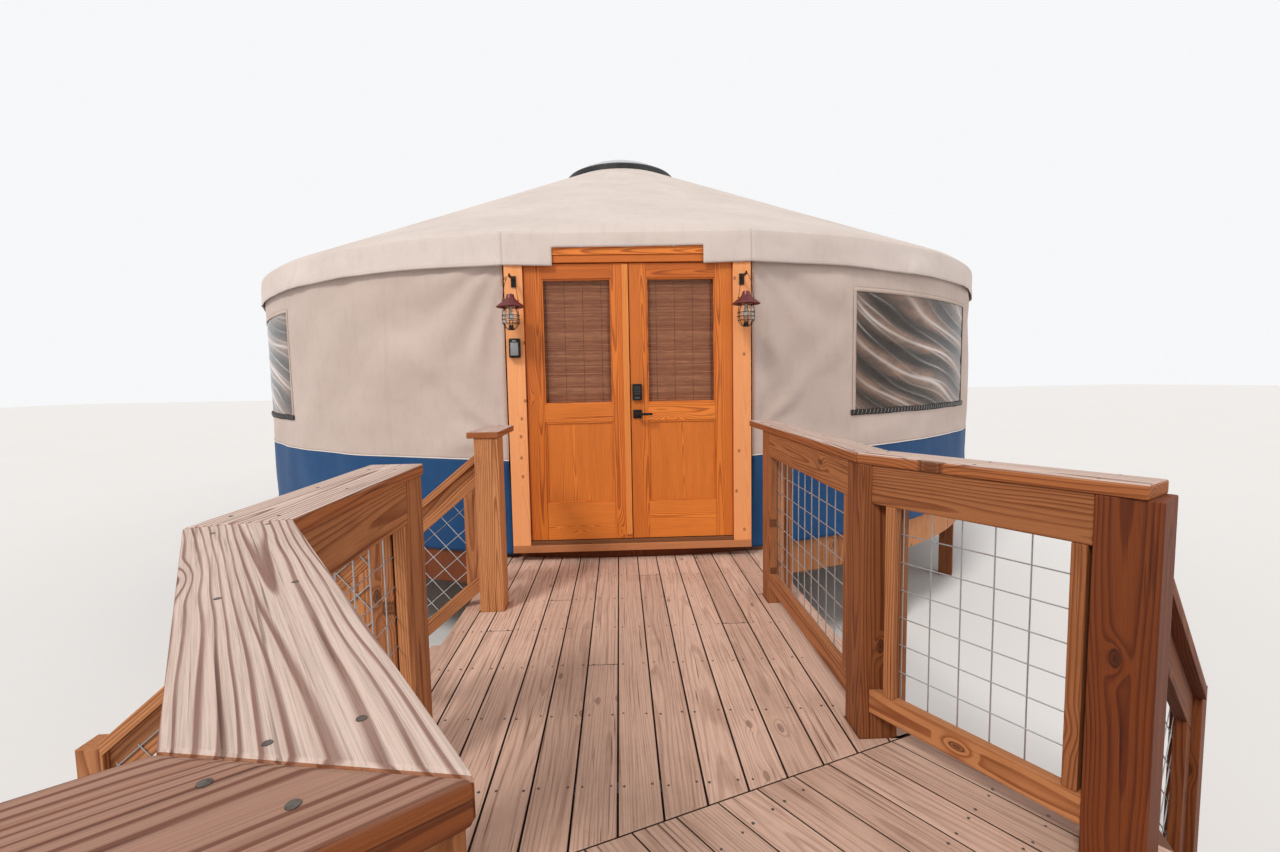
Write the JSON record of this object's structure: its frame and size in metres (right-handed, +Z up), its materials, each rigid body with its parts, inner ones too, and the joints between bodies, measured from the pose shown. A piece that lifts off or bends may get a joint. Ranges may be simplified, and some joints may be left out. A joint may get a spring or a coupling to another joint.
{
  "type": "yurt",
  "caption": "Round fabric yurt with a lattice wall and a domed skylight, on a raised timber platform, with glazed double doors and a bent entry deck with rails and stairs.",
  "frame": {"origin": "on the ground, under the middle of the yurt, at the foot of the platform's middle post", "axes": "+Z up, -Y out of the door, +X to the right as seen by someone who faces the door"},
  "size_m": [9.2038, 15.1163, 5.5082],
  "materials": {
    "framing_timber": "matte",
    "post_timber": "matte",
    "weathered_boards": "matte",
    "fascia_timber": "matte",
    "floor_timber": "satin",
    "lattice_timber": "satin",
    "rafter_timber": "satin",
    "door_timber": "satin",
    "door_post_timber": "satin",
    "steel_cable": "satin",
    "black_metal": "matte",
    "skylight_rim": "matte",
    "skylight_dome": "gloss",
    "roof_fabric": "matte",
    "valance_fabric": "matte",
    "wall_fabric": "matte",
    "band_fabric": "matte",
    "clear_vinyl": "gloss",
    "insect_screen": "matte",
    "window_glass": "gloss",
    "bamboo_blind": "matte",
    "lantern_red": "satin",
    "lantern_glass": "gloss",
    "key_box": "satin",
    "galvanised_wire": "satin"
  },
  "bodies": {
    "yurt": {"platform_posts": "post_timber", "platform_beams": "framing_timber", "floor_joists": "framing_timber", "platform_fascia": "fascia_timber", "floor": "floor_timber", "lattice_front_right": "lattice_timber", "lattice_back_right": "lattice_timber", "lattice_back_left": "lattice_timber", "lattice_front_left": "lattice_timber", "tension_cable": "steel_cable", "rafters": "rafter_timber", "compression_ring": "rafter_timber", "skylight_rim": "skylight_rim", "skylight_dome": "skylight_dome", "roof_cover": "roof_fabric", "valance": "valance_fabric", "door_valance": "valance_fabric", "wall_cover": "wall_fabric", "skirt_band": "band_fabric", "window_panes": "clear_vinyl", "window_screens": "insect_screen", "window_bindings": "wall_fabric", "door_posts": "door_post_timber", "door_header": "door_timber", "door_sill": "door_post_timber", "door_threshold": "framing_timber", "post_hinges": "black_metal", "lantern_brackets": "black_metal", "lantern_bails": "black_metal", "lantern_caps": "lantern_red", "lantern_globes": "lantern_glass", "lantern_cages": "black_metal", "key_box": "key_box", "deck_posts": "post_timber", "deck_framing": "framing_timber", "deck_boards": "weathered_boards", "bent_boards": "weathered_boards", "rail_caps": "weathered_boards", "rail_boards": "post_timber", "rail_strips": "post_timber", "wire_panels": "galvanised_wire", "landing_wires": "galvanised_wire", "stair_stringers": "framing_timber", "stair_treads": "weathered_boards", "stair_rails": "post_timber", "stair_wires": "galvanised_wire"},
    "left_door": {"left_leaf": "door_timber", "left_glass": "window_glass", "left_blind": "bamboo_blind", "meeting_batten": "door_post_timber", "left_hinges": "black_metal"},
    "right_door": {"right_leaf": "door_timber", "right_glass": "window_glass", "right_blind": "bamboo_blind", "door_locks": "black_metal", "right_hinges": "black_metal"},
    "lever": {"door_lever": "black_metal"}
  },
  "joints": [
    {"name": "left_door_swing", "type": "hinge", "parent": "yurt", "child": "left_door", "pos_m": [-0.76, -4.5432, 1.127], "axis": [0, 0, 1], "range_deg": [0, 90]},
    {"name": "right_door_swing", "type": "hinge", "parent": "yurt", "child": "right_door", "pos_m": [0.76, -4.5432, 1.127], "axis": [0, 0, -1], "range_deg": [0, 90]},
    {"name": "lever_turn", "type": "hinge", "parent": "right_door", "child": "lever", "pos_m": [0.05, -4.578, 2.062], "axis": [0, 1, 0], "range_deg": [0, 45], "stiffness_Nm_per_rad": 0.6}
  ]
}
